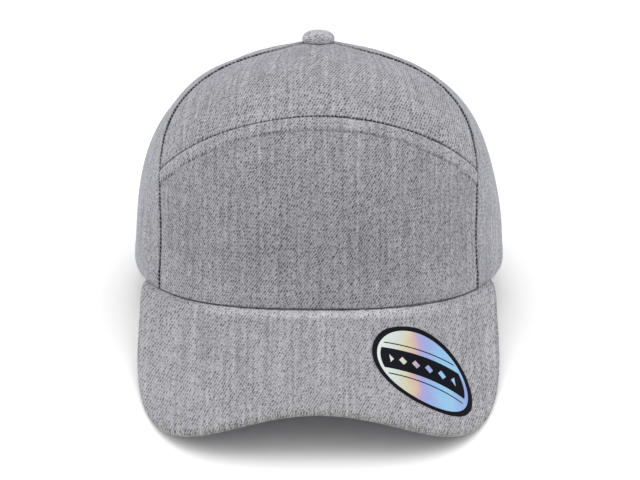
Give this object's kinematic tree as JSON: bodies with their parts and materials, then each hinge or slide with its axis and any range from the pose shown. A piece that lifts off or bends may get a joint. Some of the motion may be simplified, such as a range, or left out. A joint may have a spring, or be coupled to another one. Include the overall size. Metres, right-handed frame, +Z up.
{
  "type": "snapback cap",
  "caption": "Grey cloth snapback cap with an arched front seam, bowed flat peak, round foil label, covered button and a snapped plastic strap.",
  "frame": {"origin": "on the surface the cap stands on, under the middle of its bounding box", "axes": "+Z up, -Y towards the front edge of the peak, +X to the side of the cap that the label is on"},
  "size_m": [0.1832, 0.2582, 0.1269],
  "materials": {
    "cap_cloth": "heather grey brushed twill, matt",
    "label_foil": "iridescent foil label with a black rim",
    "sweatband_cloth": "plain grey twill tape",
    "strap_plastic": "moulded satin grey"
  },
  "bodies": {
    "root": {"front_lower_panel": "cap_cloth", "front_upper_panel": "cap_cloth", "side_panel_left": "cap_cloth", "side_panel_right": "cap_cloth", "back_panel_left": "cap_cloth", "back_panel_right": "cap_cloth", "top_button": "cap_cloth", "peak": "cap_cloth", "peak_sticker": "label_foil", "sweatband": "sweatband_cloth", "snap_strap_pegs": "strap_plastic", "snap_strap_holes": "strap_plastic"}
  },
  "joints": []
}
